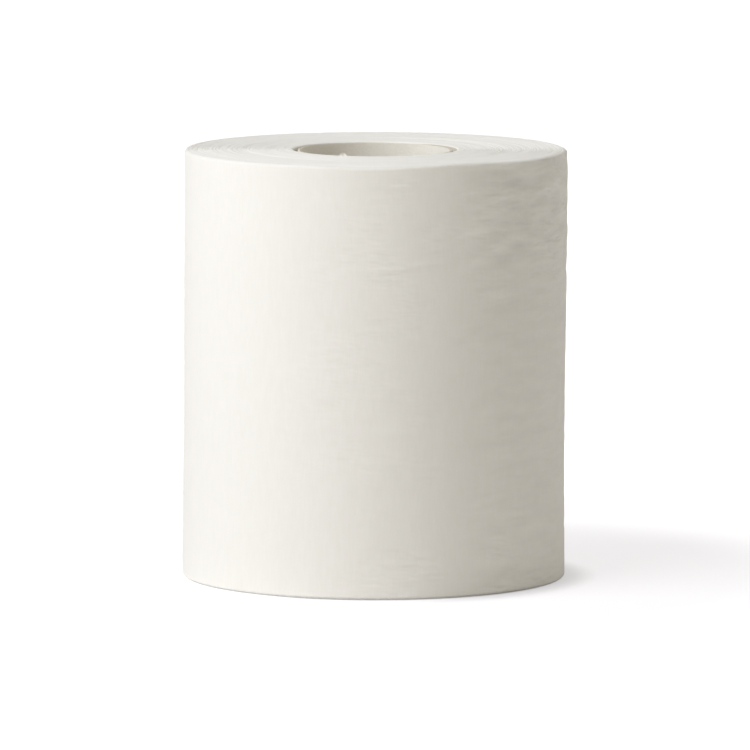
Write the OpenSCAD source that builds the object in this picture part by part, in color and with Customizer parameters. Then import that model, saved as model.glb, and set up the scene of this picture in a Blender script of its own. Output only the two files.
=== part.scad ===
// A roll of toilet tissue standing on its end: one long perforated web wound round a paperboard
// core. The web's first turn still clings to the core, and the rest of the winding has sprung
// clear of it. The origin is on the core's axis, at the face that the roll stands on.

/* [Roll] */
// Outside diameter of the wound roll
roll_d = 101.6; // [90:0.1:125]
// Width of the web, which is the height of the standing roll
web_w = 114.3; // [90:0.1:130]
// Turns drawn on the end faces, each of them a bundle of real wraps
turns = 36; // [14:1:40]
// Width of the line between two drawn turns
line_w = 0.2; // [0.15:0.05:0.3]
// Depth of the line between two drawn turns
line_depth = 0.35; // [0.1:0.05:0.8]
// Radius that handling leaves on the outer rims
rim_r = 0.9; // [0.4:0.1:1.5]
// Place of the web's two ends, counted from +X towards +Y
seam_angle = 96; // [60:1:120]

/* [Sheet] */
// Thickness of the two-ply sheet
sheet_t = 0.3; // [0.2:0.05:0.5]
// Length of one sheet, from perforation to perforation
sheet_l = 101.6; // [80:0.1:140]
// Length of one cut in a perforation
slit_l = 3; // [1.5:0.1:5]
// Paper left between two cuts
bond_l = 0.9; // [0.5:0.1:1.5]
// Width of a cut
slit_w = 0.25; // [0.15:0.05:0.4]

/* [Tail] */
// Length of the loose end
tail_l = 15; // [8:0.5:30]
// Radius that the loose end has straightened to
tail_r = 95; // [75:1:150]

/* [Core] */
// Inside diameter of the core
core_d = 40; // [36:0.1:44]
// Wall of the core
core_wall = 0.5; // [0.4:0.05:0.8]
// How far the core and the turn that clings to it end below the winding's top
core_short = 0.4; // [0:0.1:1]
// Room between the core and the winding that has sprung off it
core_room = 1.4; // [0.9:0.1:2]
// Clearance between the core and the turn that clings to it
cling = 0.1; // [0.05:0.01:0.2]
// Height that the core's spiral seam climbs in one turn
seam_lead = 96; // [60:1:130]
// Width of the gap between the strips of the core's inner ply
seam_w = 0.8; // [0.4:0.1:1.2]
// Depth of that gap
seam_depth = 0.2; // [0.1:0.05:0.3]

/* [Hidden] */
$fn = 96;
over = 1;                               // how far a cutter runs past what it cuts
roll_r = roll_d / 2;
body_r = roll_r - sheet_t;              // under the last sheet
core_out_r = core_d / 2 + core_wall;
bore_r = core_out_r + core_room;        // hole in the winding
pitch = (body_r - bore_r) / turns;      // build-up of one drawn turn
first_r = core_out_r + cling;           // inside of the turn that clings to the core
first_rise = core_room - cling + sheet_t / 2;
sunk_arc = 168;                         // the climb, up to where it ends inside the winding
tail_turn = tail_l / roll_r * 180 / PI; // arc of the loose end
sheet_turn = sheet_l / roll_r * 180 / PI;
slits = floor((web_w - bond_l) / (slit_l + bond_l));
slit_start = (web_w - slits * (slit_l + bond_l) + bond_l) / 2;
seam_step = 9;                          // arc between two sections of the core's seam

// Half of a spiral turn, from the section of the sheet at the seam. Even halves are centred on
// the axis and odd ones half the rise away from it, so each half starts where the last one
// ended and lies tangent to it.
module half_turn(odd, rise, arc = 180) {
    translate([odd * rise / 2, 0, 0])
        rotate([0, 0, odd * 180])
            rotate_extrude(angle = arc)
                translate([odd * rise / 2, 0])
                    children();
}

// The line between two turns, in section: a slot from edge to edge, cut into the end face at z.
function turn_line(r, z, depth) = [
    [r - line_w / 2, z], [r - line_w / 2, z + depth], [r + line_w / 2, z + depth], [r + line_w / 2, z]
];

// Section through all the turns at once, with a line between each of them on both end faces.
module turns_section() {
    low = [for (k = [1 : turns - 1]) each turn_line(bore_r + k * pitch, 0, line_depth)];
    high = [for (k = [1 : turns - 1]) each turn_line(bore_r + k * pitch, web_w, -line_depth)];
    inner = bore_r - 2 * pitch;
    outer = body_r + 2 * pitch;
    polygon([
        [inner, 0], each low, [outer, 0],
        [outer, web_w], for (i = [len(high) - 1 : -1 : 0]) high[i], [inner, web_w]
    ]);
}

// Section of the plain roll, from edge to edge of the web, with its outer rims rounded.
module roll_section() {
    inner = bore_r - 2 * over;
    translate([inner, 0])
        square([body_r - inner - rim_r, web_w]);
    translate([inner, rim_r])
        square([body_r - inner, web_w - 2 * rim_r]);
    for (z = [rim_r, web_w - rim_r])
        translate([body_r - rim_r, z])
            circle(r = rim_r);
}

// Outline that the turns fill. The last sheet rises out of it over half a turn, up to where the
// loose end leaves.
module wound_outline() {
    difference() {
        union() {
            half_turn(0, sheet_t)
                roll_section();
            half_turn(1, sheet_t, 180 - tail_turn)
                roll_section();
            rotate([0, 0, -tail_turn - 1])
                rotate_extrude(angle = tail_turn + 1)
                    roll_section();
        }
        translate([0, 0, -over])
            cylinder(h = web_w + 2 * over, r = bore_r);
    }
}

module wound_turns() {
    intersection() {
        wound_outline();
        union()
            for (odd = [0, 1])
                half_turn(odd, pitch)
                    turns_section();
    }
}

// The first turn, which clings to the core and then climbs into the winding.
module first_turn() {
    for (odd = [0, 1])
        half_turn(odd, first_rise, odd ? sunk_arc : 180)
            translate([first_r, 0])
                square([sheet_t, web_w - core_short]);
}

// The loose end, which leaves the winding at a tangent on a wider arc.
module tail() {
    lift_r = body_r + sheet_t / 2;
    translate([sheet_t / 2, 0, 0])
        rotate([0, 0, -tail_turn])
            translate([lift_r - tail_r, 0, 0])
                rotate_extrude(angle = tail_l / tail_r * 180 / PI)
                    translate([tail_r - sheet_t, 0])
                        square([sheet_t, web_w]);
}

// Cuts of one perforation, straight up the roll.
module perforation() {
    for (i = [0 : slits - 1])
        translate([body_r - sheet_t, -slit_w / 2, slit_start + i * (slit_l + bond_l)])
            cube([2 * sheet_t + over, slit_w, slit_l]);
}

module tissue_winding() {
    color("floralwhite")
        rotate([0, 0, seam_angle])
            difference() {
                union() {
                    wound_turns();
                    first_turn();
                    tail();
                }
                for (a = [sheet_turn : sheet_turn : 359])
                    rotate([0, 0, -a])
                        perforation();
            }
}

// Gap between the strips of the core's inner ply, which runs up the inside in a spiral. Each
// section is a rectangle, and the faces join the sections and close the two ends.
module core_seam() {
    in_r = core_d / 2 - over;
    out_r = core_d / 2 + seam_depth;
    corners = [[in_r, -seam_w / 2], [out_r, -seam_w / 2], [out_r, seam_w / 2], [in_r, seam_w / 2]];
    steps = ceil((web_w + 2 * seam_w) / seam_lead * 360 / seam_step);
    points = [
        for (i = [0 : steps]) for (c = corners)
            let (a = i * seam_step, z = a / 360 * seam_lead - seam_w)
                [c[0] * cos(a), c[0] * sin(a), z + c[1]]
    ];
    sides = [
        for (i = [0 : steps - 1]) for (c = [0 : 3])
            let (a = 4 * i + c, b = 4 * i + (c + 1) % 4)
                each [[a, a + 4, b], [b, a + 4, b + 4]]
    ];
    ends = [[0, 1, 2, 3], [4 * steps + 3, 4 * steps + 2, 4 * steps + 1, 4 * steps]];
    polyhedron(points, concat(sides, ends));
}

module core_tube() {
    color("gainsboro")
        difference() {
            cylinder(h = web_w - core_short, r = core_out_r);
            translate([0, 0, -over])
                cylinder(h = web_w + 2 * over, d = core_d);
            core_seam();
        }
}

tissue_winding();
core_tube();
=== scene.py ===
"""A roll of toilet tissue standing on its end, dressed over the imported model.

Sizes are in millimetres until a mesh is made, and in metres in the materials and the stage. Angles
are in degrees unless a name says otherwise. The roll's axis is +Z, and its web's two ends lie at
the seam angle.
"""

import math

import bmesh
import bpy
import numpy as np
from mathutils import Matrix, Vector


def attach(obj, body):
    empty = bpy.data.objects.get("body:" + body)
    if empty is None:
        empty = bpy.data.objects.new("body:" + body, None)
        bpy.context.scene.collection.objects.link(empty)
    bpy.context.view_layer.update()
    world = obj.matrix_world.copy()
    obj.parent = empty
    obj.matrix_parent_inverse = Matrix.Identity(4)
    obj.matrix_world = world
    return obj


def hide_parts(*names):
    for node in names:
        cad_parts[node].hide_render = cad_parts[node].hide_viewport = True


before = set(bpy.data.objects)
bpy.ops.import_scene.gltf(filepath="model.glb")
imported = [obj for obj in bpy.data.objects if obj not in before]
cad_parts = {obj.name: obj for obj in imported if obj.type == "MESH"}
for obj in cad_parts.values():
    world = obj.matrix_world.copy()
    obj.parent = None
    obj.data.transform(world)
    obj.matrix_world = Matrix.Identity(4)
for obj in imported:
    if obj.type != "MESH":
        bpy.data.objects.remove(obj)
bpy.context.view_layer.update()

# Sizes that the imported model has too
ROLL_R = 50.8
WEB_W = 114.3
SHEET_T = 0.3
BODY_R = ROLL_R - SHEET_T
CORE_OUT_R = 20.5
CLING = 0.1
CORE_ROOM = 1.4
BORE_R = CORE_OUT_R + CORE_ROOM
RIM_R = 0.9
SEAM = 96.0
TAIL_L = 15.0
TAIL_R = 95.0
TAIL_DROP = 0.4
SHEET_L = 101.6
SLIT_L = 3.0
BOND_L = 0.9
SLIT_START = 1.05
TAIL_TURN = math.degrees(TAIL_L / ROLL_R)
SHEET_TURN = math.degrees(SHEET_L / ROLL_R)
MM = 0.001                              # one millimetre in metres

# Detail of the visible mesh: the inner turns end and the outer ones start at the split radius
TURNS = 64
PITCH = (BODY_R - BORE_R) / TURNS
ROWS_PER_TURN = 3
SPLIT_R = 48.4
SIDE_COLUMNS = 320
END_COLUMNS = 320
LINE_DEPTH = 0.15
SHARP_DEG = 55.0
MERGE_M = 2e-8
NOISE_CELLS = 4096
NOISE_ROWS = 512


def smooth(t):
    """Eases from 0 to 1 as t does."""
    t = np.clip(t, 0.0, 1.0)
    return t * t * (3.0 - 2.0 * t)


def noise_1d(t, seed):
    """Smooth noise from -1 to 1 with one cell for each whole number of t."""
    table = np.random.default_rng(seed).uniform(-1.0, 1.0, NOISE_CELLS)
    cell = np.floor(t).astype(int)
    part = smooth(t - cell)
    here, after = table[cell % NOISE_CELLS], table[(cell + 1) % NOISE_CELLS]
    return here * (1.0 - part) + after * part


def noise_2d(turn, height, around, seed):
    """Smooth noise from -1 to 1 on the side. turn is 0 to 1 round the roll, in around cells."""
    table = np.random.default_rng(seed).uniform(-1.0, 1.0, (around, NOISE_ROWS))
    u = turn * around
    column = np.floor(u).astype(int)
    row = np.floor(height).astype(int)
    a = smooth(u - column)
    b = smooth(height - row)
    left, right = column % around, (column + 1) % around
    low, high = row % NOISE_ROWS, (row + 1) % NOISE_ROWS
    below = table[left, low] * (1.0 - a) + table[right, low] * a
    above = table[left, high] * (1.0 - a) + table[right, high] * a
    return below * (1.0 - b) + above * b


def finish_mesh(name, points, faces):
    """Makes a closed, smooth-shaded object of points in millimetres."""
    mesh = bpy.data.meshes.new(name)
    mesh.from_pydata((np.asarray(points) * MM).tolist(), [], faces)
    work = bmesh.new()
    work.from_mesh(mesh)
    bmesh.ops.remove_doubles(work, verts=work.verts, dist=MERGE_M)
    bmesh.ops.dissolve_degenerate(work, edges=work.edges, dist=MERGE_M)
    bmesh.ops.recalc_face_normals(work, faces=work.faces)
    work.to_mesh(mesh)
    work.free()
    mesh.shade_smooth()
    mesh.set_sharp_from_angle(angle=math.radians(SHARP_DEG))
    piece = bpy.data.objects.new(name, mesh)
    bpy.context.scene.collection.objects.link(piece)
    return piece


# The roll's out-of-round, from the outline in the photo: height and radial offset
LEFT_SIDE = ((0.0, 0.6), (5.0, 0.7), (39.0, 0.25), (74.0, 0.14), (108.0, -0.01), (114.3, 0.05))
RIGHT_SIDE = ((0.0, 0.25), (31.0, 0.02), (56.0, 0.17), (74.0, 0.35), (108.0, 0.75), (114.3, 0.6))

# Creases of the outer sheet that the photo shows: angle, height, length, slope, width and depth
SEEN_CREASES = (
    (-81.5, 87.5, 29.0, 6.0, 0.8, 0.1),
    (-70.0, 89.2, 14.0, 2.0, 1.6, -0.04),
    (-45.0, 105.0, 13.0, 8.0, 1.5, 0.16),
    (-30.0, 109.0, 9.0, 12.0, 1.0, 0.2),
    (-42.0, 98.5, 14.0, 2.0, 1.9, 0.2),
    (-43.0, 90.0, 15.0, 1.0, 2.1, 0.19),
    (-30.0, 94.5, 12.0, -3.0, 1.3, 0.2),
    (-38.0, 78.0, 12.0, 0.0, 1.7, -0.14),
    (-37.0, 68.5, 12.0, 2.0, 1.5, 0.12),
    (-22.0, 61.0, 9.0, 5.0, 1.2, 0.2),
    (-19.0, 51.0, 9.0, -4.0, 1.3, 0.24),
    (-31.0, 38.0, 17.0, -2.0, 1.9, -0.16),
    (-45.0, 35.0, 11.0, 3.0, 1.5, 0.07),
    (-107.0, 45.0, 12.0, 14.0, 1.2, 0.05),
    (-93.0, 46.5, 12.0, -5.0, 1.1, -0.05),
    (-82.0, 44.0, 10.0, 0.0, 1.0, 0.06),
    (-89.0, 28.5, 9.0, 1.0, 0.7, -0.05),
    (-90.0, 26.5, 7.0, 0.0, 0.7, -0.05),
    (-33.0, 109.0, 8.0, -16.0, 0.7, 0.3),
    (-22.0, 107.5, 9.0, 3.0, 0.7, 0.3),
    (-18.0, 110.0, 13.0, -10.0, 0.7, -0.2),
    (-46.0, 104.5, 9.0, -8.0, 0.7, 0.25),
)

# Small random creases at the right, under the upper rim and all round: how many, the ranges of
# angle, height, length, slope and width, the greatest depth, and whether they deepen upwards and
# to the right
SMALL_CREASES = (
    (64, (-52.0, 2.0), (6.0, 108.0), (6.0, 17.0), (-5.0, 8.0), (0.7, 1.6), 0.1, True),
    (12, (-40.0, -8.0), (103.0, 112.0), (7.0, 14.0), (4.0, 14.0), (0.6, 1.0), 0.2, False),
    (150, (-180.0, 180.0), (4.0, 110.0), (3.0, 12.0), (-9.0, 9.0), (0.6, 1.3), 0.035, False),
)


def small_creases():
    rng = np.random.default_rng(11)
    found = []
    for count, *ranges, deepest, deepens in SMALL_CREASES:
        for _ in range(count):
            angle, height, length, slope, width = (rng.uniform(*pair) for pair in ranges)
            depth = rng.uniform(-deepest, deepest)
            if deepens:
                depth = depth * (0.6 + 0.5 * min(max((height - 55.0) / 50.0, 0.0), 1.0))
                depth = depth * (1.0 + 1.3 * min(max((angle + 48.0) / 26.0, 0.0), 1.0))
            found.append((angle, height, length, slope, width, depth))
    return found


CREASES = list(SEEN_CREASES) + small_creases()

# Waves of the side: depth, height of a wave, waves round the roll and seed
WAVES = ((0.10, 38.0, 9, 21), (0.045, 13.0, 26, 22), (0.018, 3.3, 96, 23))

# Puckers at the right, deepest near the top, and shallower again at the roll's outline
PUCKERS = ((0.3, 3.1, 30, 24), (0.15, 1.7, 56, 25))
PUCKER_FROM, PUCKER_FULL = 20.0, 34.0
OUTLINE_FROM, OUTLINE_FULL, OUTLINE_LOSS = 42.0, 49.0, 0.65
UPPER_FROM, UPPER_FULL, LOWER_SHARE = 74.0, 100.0, 0.36
RUMPLE_FROM, RUMPLE_FULL = 20.0, 36.0

# Painted shade on the upper rim: its width and how much it darkens the colour, taking the edge off the
# rim's light
RIM_SHADE_W = 1.6
RIM_SHADE_LOSS = 0.07

# Small nick at the foot: angle, height, half width, half height and depth
NICK = (-115.8, 3.2, 0.7, 1.4, 0.22)


def from_angle(angle, at):
    """Degrees from one angle to another, from -180 to 180."""
    return (angle - at + 180.0) % 360.0 - 180.0


def side_offset(angle, z):
    """How far the side stands out of its plain round form. angle is the true one, in degrees."""
    angle = np.asarray(angle, dtype=float)
    z = np.asarray(z, dtype=float)
    radians = np.radians(angle)
    left = np.interp(z, [p[0] for p in LEFT_SIDE], [p[1] for p in LEFT_SIDE])
    right = np.interp(z, [p[0] for p in RIGHT_SIDE], [p[1] for p in RIGHT_SIDE])
    out = left * np.clip(-np.cos(radians), 0.0, 1.0) ** 2
    out = out + right * np.clip(np.cos(radians), 0.0, 1.0) ** 2
    turn = (angle / 360.0) % 1.0
    for depth, tall, around, seed in WAVES:
        out = out + depth * noise_2d(turn, z / tall, around, seed)
    east = ROLL_R * np.cos(radians)
    share = smooth((east - PUCKER_FROM) / (PUCKER_FULL - PUCKER_FROM))
    outline = smooth((east - OUTLINE_FROM) / (OUTLINE_FULL - OUTLINE_FROM))
    share = share * (1.0 - OUTLINE_LOSS * outline)
    upper = smooth((z - UPPER_FROM) / (UPPER_FULL - UPPER_FROM))
    share = share * (LOWER_SHARE + (1.0 - LOWER_SHARE) * upper)
    for depth, tall, around, seed in PUCKERS:
        out = out + depth * share * noise_2d(turn, z / tall, around, seed)
    for at, height, length, slope, width, depth in CREASES:
        along = np.radians(from_angle(angle, at)) * ROLL_R
        across = z - height
        slope = math.radians(slope)
        p = along * math.cos(slope) + across * math.sin(slope)
        q = across * math.cos(slope) - along * math.sin(slope)
        near = (np.abs(p) < length) & (np.abs(q) < 4.0 * width)
        shape = np.exp(-(q / width) ** 2 - (2.0 * p / length) ** 4)
        out = out + np.where(near, depth * shape, 0.0)
    at, height, half_width, half_height, depth = NICK
    along = np.radians(from_angle(angle, at)) * ROLL_R
    nick = np.exp(-(along / half_width) ** 2 - ((z - height) / half_height) ** 2)
    return out - depth * nick


# The ends: how far the wraps lie below the end's plane, and how uneven they are from one drawn
# turn to the next, from bundle to bundle and round the roll
END_SUNK = 0.06
END_TURNS, END_BUNDLES, END_ROUND = 0.03, 0.035, 0.05
END_SEED = {True: 31, False: 71}


def end_height(r, phi, seed):
    """How far the end of the winding stands above its plane. phi is counted from the seam."""
    s = (r - BORE_R) / PITCH - phi / 360.0
    part = s - np.floor(s)
    line = np.clip(1.0 - np.minimum(part, 1.0 - part) * ROWS_PER_TURN, 0.0, 1.0)
    depth = LINE_DEPTH * (0.55 + 0.45 * noise_1d(s * 1.7 + 40.0, seed))
    turn = s + 80.0
    up = END_TURNS * noise_1d(turn * 2.6, seed + 1)
    up = up + END_BUNDLES * noise_1d(turn * 0.37, seed + 2)
    up = up + END_ROUND * noise_2d((phi / 360.0) % 1.0, r / 6.0, 12, seed + 3)
    return np.minimum(up - END_SUNK, 0.0) - depth * line


# Where the outer wraps stand above the upper end's plane, or below it: angle, spread and height
RIM_LIFTS = ((-62.0, 13.0, 0.45), (-93.0, 11.0, -0.3))
LIFT_FROM = 104.0                       # height at which the side starts to follow the rim


def rim_lift(angle):
    up = 0.0
    for at, spread, height in RIM_LIFTS:
        up = up + height * np.exp(-(from_angle(angle, at) / spread) ** 2)
    return up


def body_radius(phi):
    """Radius of the side before its wrinkles: the last sheet rises over half a turn."""
    phi = np.asarray(phi, dtype=float)
    shift = SHEET_T / 2.0
    rise = np.radians(phi)
    wide = shift * np.cos(rise) + np.sqrt((BODY_R + shift) ** 2 - (shift * np.sin(rise)) ** 2)
    return np.where(phi > 180.0, wide, BODY_R)


def plan(r, phi):
    turn = np.radians(phi + SEAM)
    return r * np.cos(turn), r * np.sin(turn)


def end_rows(inner, outer):
    """First and last row of the lines that follow the spiral between two radii."""
    low = math.floor(ROWS_PER_TURN * ((inner - BORE_R) / PITCH - 1.0))
    high = math.ceil(ROWS_PER_TURN * (outer - BORE_R) / PITCH)
    return low, high


class Grid:
    """Points and faces of one mesh, added row by row."""

    def __init__(self):
        self.points = []
        self.faces = []
        self.count = 0

    def row(self, x, y, z):
        block = np.stack(np.broadcast_arrays(x, y, z), axis=-1).reshape(-1, 3)
        self.points.append(block)
        start = self.count
        self.count += len(block)
        return list(range(start, self.count))

    def band(self, a, b, closed=True, skip=()):
        n = len(a)
        for i in range(n if closed else n - 1):
            if i in skip:
                continue
            j = (i + 1) % n
            self.faces.append((a[i], a[j], b[j], b[i]))

    def spiral(self, rows):
        """Joins rows that follow the spiral: each one meets the next turn's row at the seam."""
        n = len(rows[0])
        last = len(rows) - 1
        for j in range(last):
            a, b = rows[j], rows[j + 1]
            for i in range(n - 1):
                self.faces.append((a[i], a[i + 1], b[i + 1], b[i]))
            c = rows[min(j + ROWS_PER_TURN, last)]
            d = rows[min(j + 1 + ROWS_PER_TURN, last)]
            face = [a[n - 1], c[0], d[0], b[n - 1]]
            face = [v for k, v in enumerate(face) if v != face[k - 1]]
            if len(face) > 2:
                self.faces.append(tuple(face))

    def piece(self, name):
        return finish_mesh(name, np.concatenate(self.points), self.faces)


# The hole: its waves (depth, height of a wave, first row, waves round it and seed), how far and
# over what width its worn edge lies below the end, the width that follows the waves, and the
# depths of the rows down its wall
BORE_WAVES = ((0.13, 30.0, 7.0, 11, 51), (0.05, 6.0, 0.0, 40, 52))
BORE_EDGE = 0.28
BORE_EDGE_W = 0.7
BORE_WAVES_W = 1.5
BORE_ROWS = (2.0, 8.0, 25.0, WEB_W / 2.0)


def bore_offset(phi, z):
    """How far the hole in the winding departs from round."""
    turn = (np.asarray(phi) / 360.0) % 1.0
    out = 0.0
    for depth, tall, first, around, seed in BORE_WAVES:
        out = out + depth * noise_2d(turn, z / tall + first, around, seed)
    return out


def inner_turns(name, top):
    """The turns between the hole and the outer wraps, for the upper or the lower half."""
    grid = Grid()
    phi = np.linspace(0.0, 360.0, END_COLUMNS, endpoint=False)
    low, high = end_rows(BORE_R, SPLIT_R)
    rows = []
    for j in range(low, high + 1):
        r = BORE_R + PITCH * (j / ROWS_PER_TURN + phi / 360.0)
        r = np.clip(r, BORE_R, SPLIT_R)
        up = end_height(r, phi, END_SEED[top])
        up = up - BORE_EDGE * smooth(1.0 - (r - BORE_R) / BORE_EDGE_W) ** 2
        z = WEB_W + up if top else -up
        near_bore = smooth(1.0 - (r - BORE_R) / BORE_WAVES_W)
        x, y = plan(r + near_bore * bore_offset(phi, z), phi)
        rows.append(grid.row(x, y, z))
    grid.spiral(rows)
    previous = rows[0]
    for depth in BORE_ROWS:
        z = np.full_like(phi, WEB_W - depth if top else depth)
        x, y = plan(BORE_R + bore_offset(phi, z), phi)
        ring = grid.row(x, y, z)
        grid.band(previous, ring)
        previous = ring
    x, y = plan(np.full_like(phi, SPLIT_R), phi)
    outside = grid.row(x, y, np.full_like(phi, WEB_W / 2.0))
    grid.band(previous, outside)
    grid.band(outside, rows[-1])
    return grid.piece(name)


# The perforations: how many cross the side, the columns of each and the room round them, in degrees, the
# rows to each cut and bond, how far short of its ends a cut sinks, and how far it sinks
PERFORATIONS = 3
CUT_COLUMNS = (-0.5, -0.13, 0.0, 0.13, 0.5)
CUT_ROOM = 0.75
CUT_ROWS = 7
CUT_SHORT = 0.1
CUT_SUNK = 0.06


def side_columns():
    """Angles from the seam of the side's columns, closer together at each perforation."""
    plain = np.linspace(0.0, 360.0, SIDE_COLUMNS, endpoint=False)
    cuts = [360.0 - SHEET_TURN * (k + 1) for k in range(PERFORATIONS)]
    root = 360.0 - TAIL_TURN
    keep = [a for a in plain if all(abs(a - c) > CUT_ROOM for c in cuts + [root])]
    extra = [c + d for c in cuts for d in CUT_COLUMNS]
    columns = np.array(sorted(keep + extra + [root]))
    return columns, root, cuts


def side_heights():
    """Heights of the side's rows, in step with the cuts and bonds of the perforations."""
    step = (SLIT_L + BOND_L) / CUT_ROWS
    rows = np.arange(SLIT_START, WEB_W - RIM_R - 0.2, step)
    return np.concatenate([[RIM_R], rows, [WEB_W - RIM_R]])


def in_slit(z):
    part = (z - SLIT_START) % (SLIT_L + BOND_L)
    return CUT_SHORT < part < SLIT_L - CUT_SHORT


# The rim: the share of its radius that the spiral rows cover, the steps from there to the side,
# and how far inside the side the end starts to take up the rim's lift, and over what width
RIM_SHARE = 0.75
RIM_STEPS = 3
LIFT_OUT, LIFT_W = 2.1, 1.8

# The loose end: columns, how far the bonds stand out of its torn edge, the wander of that edge
# (size, height of a wave and seed), its lift off the roll (least, greatest change, height of a
# wave, first row and seed), and the length over which it takes its full height
TAIL_STEPS = 13
TOOTH = 0.35
TEAR = ((0.22, 0.9, 61), (0.3, 9.0, 62))
TAIL_LIFT = (0.3, 0.35, 24.0, 3.0, 63)
TAIL_SPREAD = 4.0


def noise_at(t, seed):
    return float(noise_1d(np.array(t), seed))


def outer_turns(name):
    """The outer wraps with the whole side of the roll, the last sheet and the loose end."""
    grid = Grid()
    columns, root, cuts = side_columns()
    at = int(np.argmin(np.abs(columns - root)))
    phi = np.insert(columns, at + 1, root)
    radius = body_radius(phi)
    radius[at + 1:] = BODY_R
    angle = phi + SEAM
    edge_r = radius - (1.0 - RIM_SHARE) * RIM_R
    edge_t = math.asin(RIM_SHARE)

    def placed(r, z):
        share = np.clip((r - SPLIT_R) / (radius - SPLIT_R), 0.0, 1.0)
        return plan(r + share * side_offset(angle, z), phi)

    ends = {}
    low, high = end_rows(SPLIT_R, ROLL_R)
    for top in (True, False):
        seed = END_SEED[top]
        lift = rim_lift(angle) if top else np.zeros_like(angle)
        rows = []
        for j in range(low, high + 1):
            r = BORE_R + PITCH * (j / ROWS_PER_TURN + phi / 360.0)
            r = np.clip(r, SPLIT_R, edge_r)
            out = np.clip(r - (radius - RIM_R), 0.0, None)
            drop = RIM_R - np.sqrt(RIM_R ** 2 - out ** 2)
            up = end_height(r, phi, seed) - drop
            up = up + lift * smooth((r - radius + LIFT_OUT) / LIFT_W)
            z = WEB_W + up if top else -up
            x, y = placed(r, z)
            rows.append(grid.row(x, y, z))
        grid.spiral(rows)
        edge = end_height(edge_r, phi, seed)
        previous = rows[-1]
        for k in range(1, RIM_STEPS):
            share = k / RIM_STEPS
            t = edge_t + (math.pi / 2.0 - edge_t) * share
            r = radius - RIM_R + RIM_R * math.sin(t)
            up = RIM_R * math.cos(t) - RIM_R + edge * (1.0 - share) + lift
            z = WEB_W + up if top else -up
            x, y = placed(r, z)
            ring = grid.row(x, y, z)
            grid.band(previous, ring)
            previous = ring
        ends[top] = (rows[0], previous)

    # The side, from the bottom rim to the top one, and the loose end beside it
    heights = side_heights()
    middle = WEB_W / 2.0
    spread = (WEB_W - 2.0 * TAIL_DROP) / (WEB_W - 2.0 * RIM_R) - 1.0
    turned = np.radians(angle)
    turn = math.radians(root + SEAM)
    outward = np.array([math.cos(turn), math.sin(turn)])
    forward = np.array([-math.sin(turn), math.cos(turn)])
    side = []
    outside = []
    inside = []
    for z in heights:
        level = np.full_like(phi, z)
        sunk = np.zeros_like(phi)
        if in_slit(z):
            for cut in cuts:
                sunk[np.argmin(np.abs(phi - cut))] = -CUT_SUNK
        x, y = placed(radius, level)
        follow = smooth((z - LIFT_FROM) / (WEB_W - RIM_R - LIFT_FROM))
        lifted = level + rim_lift(angle) * follow
        side.append(grid.row(x + sunk * np.cos(turned), y + sunk * np.sin(turned), lifted))
        tooth = 0.0 if in_slit(z) else TOOTH
        reach = TAIL_L + tooth
        for size, tall, seed in TEAR:
            reach = reach + size * noise_at(z / tall, seed)
        least, change, tall, first, seed = TAIL_LIFT
        most = least + change * noise_at(z / tall + first, seed)
        start = np.array([x[at], y[at]])
        outer_row = []
        inner_row = []
        for k in range(1, TAIL_STEPS + 1):
            run = reach * k / TAIL_STEPS
            bend = run / TAIL_R
            lift = float(smooth(run / TAIL_L)) * most
            normal = outward * math.cos(bend) + forward * math.sin(bend)
            place = start + forward * TAIL_R * math.sin(bend)
            place = place - outward * TAIL_R * (1.0 - math.cos(bend)) + normal * lift
            height = middle + (z - middle) * (1.0 + spread * float(smooth(run / TAIL_SPREAD)))
            outer_row.append((place[0], place[1], height))
            under = place - normal * SHEET_T
            inner_row.append((under[0], under[1], height))
        a = np.array(outer_row)
        b = np.array(inner_row)
        outside.append(grid.row(a[:, 0], a[:, 1], a[:, 2]))
        inside.append(grid.row(b[:, 0], b[:, 1], b[:, 2]))
    for k in range(len(heights) - 1):
        grid.band(side[k], side[k + 1], skip=(at,))
        loops = []
        for row in (k, k + 1):
            loops.append([side[row][at]] + outside[row] + inside[row][::-1] + [side[row][at + 1]])
        grid.band(*loops, closed=False)
    for k in (0, len(heights) - 1):
        over = [side[k][at]] + outside[k]
        under = [side[k][at + 1]] + inside[k]
        grid.band(over, under, closed=False)
    grid.band(ends[False][1], side[0])
    grid.band(side[-1], ends[True][1])
    grid.band(ends[False][0], ends[True][0])
    return grid.piece(name)


# The first turn: its arc and columns, its wall, the depth of its waves, the arc where they end,
# the wander of its upper edge (size, waves round it and seed) and the heights of its rows
FIRST_ARC = 352.0
FIRST_COLUMNS = 250
FIRST_WALL = 0.2
FIRST_WAVE = 0.16
FIRST_WAVE_END = 250.0
FIRST_EDGE = ((0.1, 60.0, 82), (0.08, 19.0, 83))
FIRST_ROWS = (0.25, 3.0, 12.0, 35.0, 60.0, 85.0, 100.0, 106.0, 109.5, 111.4, 112.6, 113.2)


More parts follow.
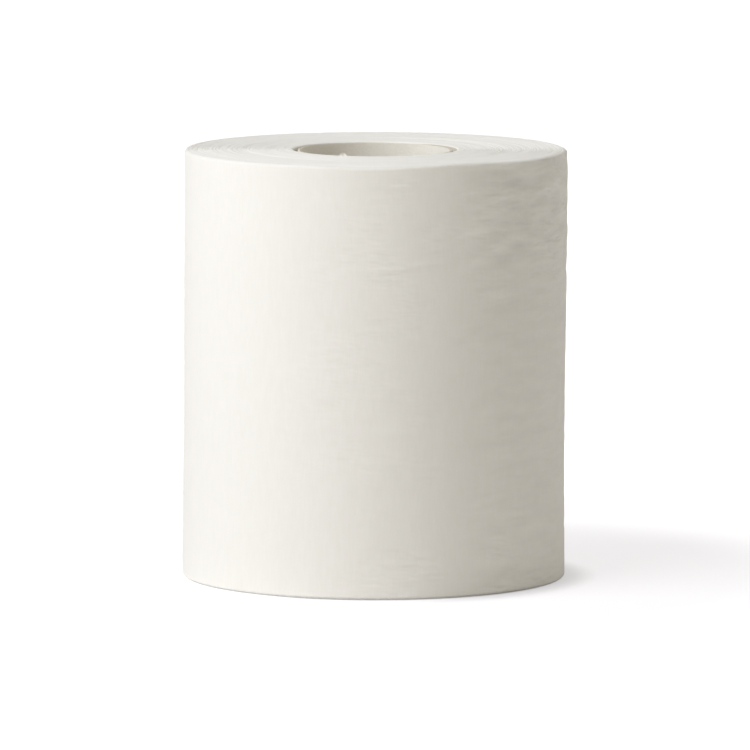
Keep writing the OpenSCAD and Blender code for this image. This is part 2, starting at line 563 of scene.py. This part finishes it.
def first_turn(name):
    """The first turn, which clings to the core and then climbs into the winding."""
    grid = Grid()
    rise = CORE_ROOM - CLING + SHEET_T / 2.0
    start = CORE_OUT_R + CLING
    phi = np.linspace(0.0, FIRST_ARC, FIRST_COLUMNS)
    climb = np.where(phi > 180.0, 0.5 * rise * (1.0 - np.cos(np.radians(phi - 180.0))), 0.0)
    turn = phi / 360.0
    free = np.sin(np.radians(phi) / 2.0) ** 2
    loops = []
    for height in FIRST_ROWS:
        level = np.full_like(phi, height)
        wave = 1.0 + noise_2d(turn * 0.97, level / 11.0, 26, 81)
        wave = FIRST_WAVE * wave * (0.3 + 0.7 * free)
        r = start + climb + wave * np.where(phi > FIRST_WAVE_END, 0.0, 1.0)
        if height == FIRST_ROWS[-1]:
            for size, around, seed in FIRST_EDGE:
                level = level + size * noise_1d(turn * around, seed)
        inner = grid.row(*plan(r, phi), level)
        outer = grid.row(*plan(r + FIRST_WALL, phi), level)
        loops.append(inner + outer[::-1])
    for a, b in zip(loops, loops[1:]):
        grid.band(a, b)
    count = len(phi)
    for loop in (loops[0], loops[-1]):
        grid.band(loop[:count], loop[count:][::-1], closed=False)
    return grid.piece(name)


# The torn tuft: its place round the hole and the way it faces, in degrees, its distance from the
# hole, half its width, its foot and top, the height of its ragged edge, columns and rows
TUFT_AT = -112.3
TUFT_FACING = -88.0
TUFT_IN = 0.25
TUFT_HALF_W = 1.15
TUFT_FOOT, TUFT_TOP = -1.6, 1.0
TUFT_TALL, TUFT_RAGGED = 0.5, 0.2
TUFT_COLUMNS = 12
TUFT_ROWS = 9


def torn_tuft(name):
    """A flake of torn tissue that stands on the front rim of the hole."""
    grid = Grid()
    rng = np.random.default_rng(91)
    across = np.linspace(-TUFT_HALF_W, TUFT_HALF_W, TUFT_COLUMNS)
    levels = np.linspace(TUFT_FOOT, TUFT_TOP, TUFT_ROWS)
    tall = TUFT_TALL + TUFT_RAGGED * rng.uniform(-1.0, 1.0, TUFT_COLUMNS)
    tall[[0, 1, -2, -1]] = (0.05, 0.3, 0.3, 0.05)
    turn = math.radians(TUFT_AT)
    middle = np.array([math.cos(turn), math.sin(turn)]) * (BORE_R + TUFT_IN)
    facing = math.radians(TUFT_FACING)
    out = np.array([math.cos(facing), math.sin(facing)])
    along = np.array([-out[1], out[0]])
    rings = []
    for z in levels:
        share = (z - levels[0]) / (levels[-1] - levels[0])
        bend = 0.3 * np.sin(across * 2.1 + 0.6) * share + 0.25 * share ** 2
        up = np.where(z > 0.0, z * tall, z)
        front = np.stack([across * (1.0 - 0.2 * share), bend - 0.1, up], axis=-1)
        back = np.stack([across * (1.0 - 0.2 * share), bend + 0.06, up], axis=-1)
        ring = np.concatenate([front, back[::-1]])
        flat = middle - out * ring[:, 1:2] + along * ring[:, 0:1]
        rings.append(grid.row(flat[:, 0], flat[:, 1], WEB_W + ring[:, 2]))
    for a, b in zip(rings, rings[1:]):
        grid.band(a, b)
    for ring in (rings[0], rings[-1]):
        grid.band(ring[:TUFT_COLUMNS], ring[TUFT_COLUMNS:][::-1], closed=False)
    return grid.piece(name)


class Nodes:
    """Short calls that add nodes to the tree of a material or of the world."""

    def __init__(self, owner):
        owner.use_nodes = True
        self.tree = owner.node_tree
        self.tree.nodes.clear()

    def add(self, kind, inputs=None, **settings):
        node = self.tree.nodes.new(kind)
        for key, value in settings.items():
            setattr(node, key, value)
        for key, value in (inputs or {}).items():
            if isinstance(value, bpy.types.NodeSocket):
                self.tree.links.new(value, node.inputs[key])
            else:
                node.inputs[key].default_value = value
        return node

    def math(self, operation, a, b=0.0):
        return self.add("ShaderNodeMath", {0: a, 1: b}, operation=operation).outputs[0]

    def times(self, a, b):
        return self.math("MULTIPLY", a, b)

    def rest(self, value):
        """What is left of 1."""
        return self.math("SUBTRACT", 1.0, value)

    def total(self, *terms):
        """Sum of values, each times its own weight."""
        parts = [self.times(value, weight) for value, weight in terms]
        result = parts[0]
        for part in parts[1:]:
            result = self.math("ADD", result, part)
        return result

    def place(self):
        """The point's three coordinates, in metres."""
        point = self.add("ShaderNodeTexCoord").outputs["Object"]
        return self.add("ShaderNodeSeparateXYZ", {0: point}).outputs

    def normal_z(self):
        normal = self.add("ShaderNodeNewGeometry").outputs["Normal"]
        return self.add("ShaderNodeSeparateXYZ", {0: normal}).outputs[2]

    def noise(self, place, scales, detail=2.0, roughness=0.5):
        """Noise over three coordinates, each times its own scale."""
        scaled = [self.times(value, scale) for value, scale in zip(place, scales)]
        vector = self.add("ShaderNodeCombineXYZ", dict(enumerate(scaled))).outputs[0]
        inputs = {"Vector": vector, "Scale": 1.0, "Detail": detail, "Roughness": roughness}
        return self.add("ShaderNodeTexNoise", inputs).outputs["Fac"]

    def ramp(self, value, low, high, out_low=0.0, out_high=1.0):
        inputs = {
            "Value": value, "From Min": low, "From Max": high,
            "To Min": out_low, "To Max": out_high,
        }
        node = self.add("ShaderNodeMapRange", inputs, interpolation_type="SMOOTHSTEP")
        return node.outputs["Result"]

    def mix(self, share, a, b):
        node = self.add("ShaderNodeMix", data_type="RGBA")
        for key, value in (("Factor", share), ("A", a), ("B", b)):
            kind = "VALUE" if key == "Factor" else "RGBA"
            socket = next(s for s in node.inputs if s.name == key and s.type == kind)
            if isinstance(value, bpy.types.NodeSocket):
                self.tree.links.new(value, socket)
            else:
                socket.default_value = value
        return next(s for s in node.outputs if s.type == "RGBA")

    def scaled(self, colour, share):
        node = self.add("ShaderNodeVectorMath", {0: colour, "Scale": share}, operation="SCALE")
        return node.outputs[0]

    def seen(self):
        """1 for rays from the camera, direct, mirrored or through glass, and 0 for the others."""
        path = self.add("ShaderNodeLightPath").outputs
        either = self.math("MAXIMUM", path["Is Camera Ray"], path["Is Glossy Ray"])
        return self.math("MAXIMUM", either, path["Is Transmission Ray"])


def linear(red, green, blue):
    """A colour as it is seen on screen, from 0 to 255, as the shader's own numbers."""
    def one(v):
        v = v / 255.0
        return v / 12.92 if v <= 0.04045 else ((v + 0.055) / 1.055) ** 2.4
    return (one(red), one(green), one(blue), 1.0)


def grey(level):
    return (level, level, level, 1.0)


def tissue_material(name):
    """Soft white tissue: creped along the axis on the side, and cut edges on the ends."""
    material = bpy.data.materials.new(name)
    m = Nodes(material)
    x, y, z = m.place()
    up = m.normal_z()
    end = m.ramp(m.math("ABSOLUTE", up), 0.45, 0.8)
    radius = m.math("SQRT", m.total((x, x), (y, y)))

    # Crepe: ridges that run up the side, about half a millimetre apart
    fine = m.noise((x, y, z), (2400.0, 2400.0, 230.0))
    broad = m.noise((x, y, z), (900.0, 900.0, 170.0), detail=1.0)
    fibre = m.noise((x, y, z), (3200.0, 3200.0, 2600.0), detail=3.0, roughness=0.65)
    crepe = m.total((fine, 0.7), (broad, 0.35), (fibre, 0.25))

    # Ends: the cut edges of the real wraps, as fine rings
    rings = m.noise((radius, x, y), (6500.0, 130.0, 130.0), roughness=0.6)
    bands = m.noise((radius, x, y), (1100.0, 40.0, 40.0), detail=1.0)
    edges = m.total((rings, 0.8), (fibre, 0.5))

    # Fine relief over the puckers at the right, and faint level dashes from the middle rightwards, in
    # the bump and as painted light and shade in the colour
    rumple = m.noise((x, y, z), (95.0, 95.0, 340.0))
    dashes = m.noise((x, y, z), (190.0, 190.0, 600.0), detail=1.0)
    patches = m.noise((x, y, z), (75.0, 75.0, 95.0), detail=1.0)
    right = m.ramp(x, RUMPLE_FROM * MM, RUMPLE_FULL * MM)
    upper = m.ramp(z, UPPER_FROM * MM, UPPER_FULL * MM, LOWER_SHARE, 1.0)
    middle = m.ramp(x, -35.0 * MM, 0.0, 0.15, 1.0)
    middle = m.times(middle, m.ramp(patches, 0.42, 0.62, 0.15, 1.0))
    rumple = m.times(m.math("SUBTRACT", rumple, 0.5), m.times(right, upper))
    dashes = m.times(m.math("SUBTRACT", dashes, 0.5), middle)

    # Height of the bump, in millimetres
    side_height = m.total((crepe, 0.012), (rumple, 1.4), (dashes, 0.17))
    height = m.total((side_height, m.rest(end)), (m.times(edges, 0.01), end))
    bump = m.add("ShaderNodeBump", {"Strength": 1.0, "Distance": MM, "Height": height})

    # Colour of the side, with painted light and shade over the puckers and dashes, lighter where they
    # stand out, and of the ends
    tone = m.ramp(crepe, 0.45, 0.9)
    side_colour = m.mix(tone, linear(246, 244, 239), linear(249, 247, 243))
    shade = m.math("ADD", 1.0, m.total((rumple, 0.3), (dashes, 0.055)))
    ring_tone = m.ramp(m.total((rings, 0.65), (bands, 0.45)), 0.35, 0.75)
    end_colour = m.mix(ring_tone, linear(242, 241, 238), linear(249, 248, 246))
    colour = m.mix(end, m.scaled(side_colour, shade), end_colour)

    # Painted shade darkens the upper rim, taking the edge off its light
    rim_shade = m.ramp(radius, (ROLL_R - RIM_SHADE_W) * MM, (ROLL_R - RIM_R) * MM)
    rim_shade = m.times(rim_shade, m.ramp(up, 0.1, 0.5))
    colour = m.scaled(colour, m.rest(m.times(rim_shade, RIM_SHADE_LOSS)))

    # Painted shade of the gap beside the core: the wall of the hole is darker, most of all at the right,
    # where it shows beside the core
    inside = m.ramp(radius, (BORE_R + 0.2) * MM, (BORE_R + 0.5) * MM, 1.0, 0.0)
    inside = m.times(inside, m.math("LESS_THAN", z, WEB_W * MM))
    inside = m.times(inside, m.ramp(x, 9.0 * MM, 17.0 * MM, 0.1, 1.0))
    colour = m.mix(m.times(inside, m.rest(end)), colour, linear(203, 197, 184))
    shader = m.add("ShaderNodeBsdfPrincipled", {
        "Base Color": colour,
        "Roughness": m.ramp(fibre, 0.3, 0.7, 0.88, 0.98),
        "Specular IOR Level": 0.2,
        "Sheen Weight": 0.12,
        "Sheen Roughness": 0.5,
        "Normal": bump.outputs["Normal"],
    })
    m.add("ShaderNodeOutputMaterial", {"Surface": shader.outputs[0]})
    return material


def board_material(name):
    """Pale uncoated paperboard of the core, mottled by its fibres and paler than its cut ends."""
    material = bpy.data.materials.new(name)
    m = Nodes(material)
    place = m.place()
    fibre = m.noise(place, (1500.0, 1500.0, 1900.0), detail=4.0, roughness=0.65)
    cloud = m.noise(place, (150.0, 150.0, 110.0))
    tone = m.ramp(m.total((fibre, 0.55), (cloud, 0.45)), 0.3, 0.7)
    colour = m.mix(tone, linear(235, 232, 224), linear(244, 242, 236))
    cut = m.ramp(m.math("ABSOLUTE", m.normal_z()), 0.6, 0.9)
    colour = m.mix(cut, colour, linear(220, 215, 205))
    bump = m.add("ShaderNodeBump", {"Strength": 0.4, "Distance": 0.05 * MM, "Height": fibre})
    shader = m.add("ShaderNodeBsdfPrincipled", {
        "Base Color": colour,
        "Roughness": m.ramp(cloud, 0.3, 0.7, 0.78, 0.9),
        "Specular IOR Level": 0.3,
        "Normal": bump.outputs["Normal"],
    })
    m.add("ShaderNodeOutputMaterial", {"Surface": shader.outputs[0]})
    return material


tissue = tissue_material("tissue")
board = board_material("core_board")

# Pieces of the tissue web
web_pieces = [
    outer_turns("outer_turns"),
    inner_turns("inner_turns_upper", True),
    inner_turns("inner_turns_lower", False),
    first_turn("first_turn"),
    torn_tuft("torn_tuft"),
]
for piece in web_pieces:
    piece.data.materials.append(tissue)
    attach(piece, "root")
    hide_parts("tissue_winding")

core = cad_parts["core_tube"]
for slot in core.material_slots:
    slot.material = board

# Floor: white to the camera but for the shade round the roll, which leaves out its left and is
# darkest beside the base at the right. Near the roll the glow drops so that the lamps' shadow
# shows; beside the base at the right it drops further as a painted contact shadow, and at the
# left it is full, as painted light over the shade there. The greys are what it reflects: as seen,
# and onto the roll from most of it, from beside the base at the right, darker as painted shade on
# the roll's foot, and from beside the base at the left, lighter as painted light.
FLOOR_HALF = 12.0
FLOOR_TINT = (1.0, 0.985, 1.0, 1.0)
FLOOR_GLOW = 0.74
CONTACT_SHADE_LOSS = 0.3
CLOSE_R = 0.061
SHADE_R = 0.095
WHITE_R = 0.17
EAST_X = 0.035
WEST_X = -0.03
SEEN_GREY = 0.33
BOUNCE, BOUNCE_EAST_SHADE, BOUNCE_WEST_LIGHT = 0.64, 0.4, 0.75

floor_mesh = bpy.data.meshes.new("floor")
corners = [(-FLOOR_HALF, -FLOOR_HALF, 0.0), (FLOOR_HALF, -FLOOR_HALF, 0.0),
           (FLOOR_HALF, FLOOR_HALF, 0.0), (-FLOOR_HALF, FLOOR_HALF, 0.0)]
floor_mesh.from_pydata(corners, [], [(0, 1, 2, 3)])
floor = bpy.data.objects.new("floor", floor_mesh)
bpy.context.scene.collection.objects.link(floor)

floor_material = bpy.data.materials.new("floor")
f = Nodes(floor_material)
seen = f.seen()
point = f.add("ShaderNodeTexCoord").outputs["Object"]
east = f.add("ShaderNodeSeparateXYZ", {0: point}).outputs[0]
away = f.add("ShaderNodeVectorMath", {0: point}, operation="LENGTH").outputs["Value"]
beside = f.ramp(away, ROLL_R * MM, CLOSE_R, 1.0, 0.0)
contact_shade = f.times(beside, f.ramp(east, 0.0, EAST_X))
west = f.ramp(east, WEST_X, 0.0, 1.0, 0.0)
level = f.ramp(away, SHADE_R, WHITE_R, FLOOR_GLOW, 1.0)
# Painted contact shadow: the glow is lowered beside the base at the right
level = f.times(level, f.rest(f.times(contact_shade, CONTACT_SHADE_LOSS)))
# Painted light: at the left of the roll the glow is full, which hides the shade there
level = f.times(seen, f.math("MAXIMUM", level, west))
glow = f.add("ShaderNodeEmission", {"Color": FLOOR_TINT, "Strength": level})
# Painted shade and light on the roll's foot: the floor reflects less beside the base at the right and
# more beside it at the left
bounce = f.mix(contact_shade, grey(BOUNCE), grey(BOUNCE_EAST_SHADE))
bounce = f.mix(f.times(west, beside), bounce, grey(BOUNCE_WEST_LIGHT))
matt = f.add("ShaderNodeBsdfDiffuse", {"Color": f.mix(seen, bounce, grey(SEEN_GREY))})
both = f.add("ShaderNodeAddShader", {0: glow.outputs[0], 1: matt.outputs[0]})
f.add("ShaderNodeOutputMaterial", {"Surface": both.outputs[0]})
floor_mesh.materials.append(floor_material)

# World: a plain soft fill on the object, weaker from overhead, and full strength to the camera
FILL_LOW = 0.478
FILL_HIGH = 0.19
SKY = (1.0, 0.905, 0.71, 1.0)
world = bpy.data.worlds.new("studio")
bpy.context.scene.world = world
w = Nodes(world)
toward = w.add("ShaderNodeTexCoord").outputs["Generated"]
high = w.add("ShaderNodeSeparateXYZ", {0: toward}).outputs["Z"]
fill = w.add("ShaderNodeMapRange", {"Value": high, "To Min": FILL_LOW, "To Max": FILL_HIGH})
level = {"Value": w.seen(), "To Min": fill.outputs["Result"], "To Max": 1.0}
strength = w.add("ShaderNodeMapRange", level).outputs["Result"]
sky = w.add("ShaderNodeBackground", {"Color": SKY, "Strength": strength})
w.add("ShaderNodeOutputWorld", {"Surface": sky.outputs[0]})

# Lamps, aimed at the middle of the roll
CENTRE = Vector((0.0, 0.0, WEB_W / 2.0 * MM))


def area_light(name, azimuth, elevation, distance, size, power, colour):
    """azimuth is counted from the camera's side, positive to the right."""
    a, e = math.radians(azimuth), math.radians(elevation)
    away = Vector((math.sin(a) * math.cos(e), -math.cos(a) * math.cos(e), math.sin(e)))
    data = bpy.data.lights.new(name, "AREA")
    data.shape = "DISK"
    data.size = size
    data.energy = power
    data.color = colour
    lamp = bpy.data.objects.new(name, data)
    lamp.location = CENTRE + away * distance
    lamp.rotation_euler = away.to_track_quat("Z", "Y").to_euler()
    bpy.context.scene.collection.objects.link(lamp)


# Name, azimuth, elevation, distance, size, power and colour
LAMPS = (
    ("key", -54.0, 41.0, 1.6, 1.5, 21.7, (0.965, 0.975, 1.0)),
    ("top_light", -30.0, 80.0, 1.6, 1.2, 2.2, (0.62, 0.8, 1.0)),
    ("rim_light", -95.0, 15.0, 1.6, 1.0, 1.6, (0.5, 0.62, 1.0)),
    ("back_light", 116.0, 8.0, 1.6, 1.0, 4.4, (0.9, 0.92, 1.0)),
)
for lamp in LAMPS:
    area_light(*lamp)

# Camera, fitted to the roll's outline in the photo: lens and picture in pixels, distance in
# metres, tilt and lean in degrees, sensor in millimetres, and where the centre is seen
LENS_PX = 9382.0
IMAGE_PX = 750.0
DISTANCE = 2.5
PITCH_DEG = 6.54
ROLL_DEG = 0.13
SENSOR = 36.0
SEEN_AT = (374.35, 362.05)

camera_data = bpy.data.cameras.new("camera")
camera_data.sensor_width = SENSOR
camera_data.lens = LENS_PX * SENSOR / IMAGE_PX
camera_data.clip_start = 0.05
camera_data.clip_end = 60.0
camera = bpy.data.objects.new("camera", camera_data)
bpy.context.scene.collection.objects.link(camera)
pitch = math.radians(PITCH_DEG)
place = CENTRE + DISTANCE * Vector((0.0, -math.cos(pitch), math.sin(pitch)))
per_px = DISTANCE / LENS_PX
right = Vector((1.0, 0.0, 0.0))
up = Vector((0.0, math.sin(pitch), math.cos(pitch)))
aim = CENTRE + right * (IMAGE_PX / 2.0 - SEEN_AT[0]) * per_px
aim = aim - up * (IMAGE_PX / 2.0 - SEEN_AT[1]) * per_px
turn = (aim - place).to_track_quat("-Z", "Y").to_matrix().to_4x4()
lean = Matrix.Rotation(math.radians(ROLL_DEG), 4, "Z")
camera.matrix_world = Matrix.Translation(place) @ turn @ lean
bpy.context.scene.camera = camera

bpy.context.scene.view_settings.view_transform = "Standard"
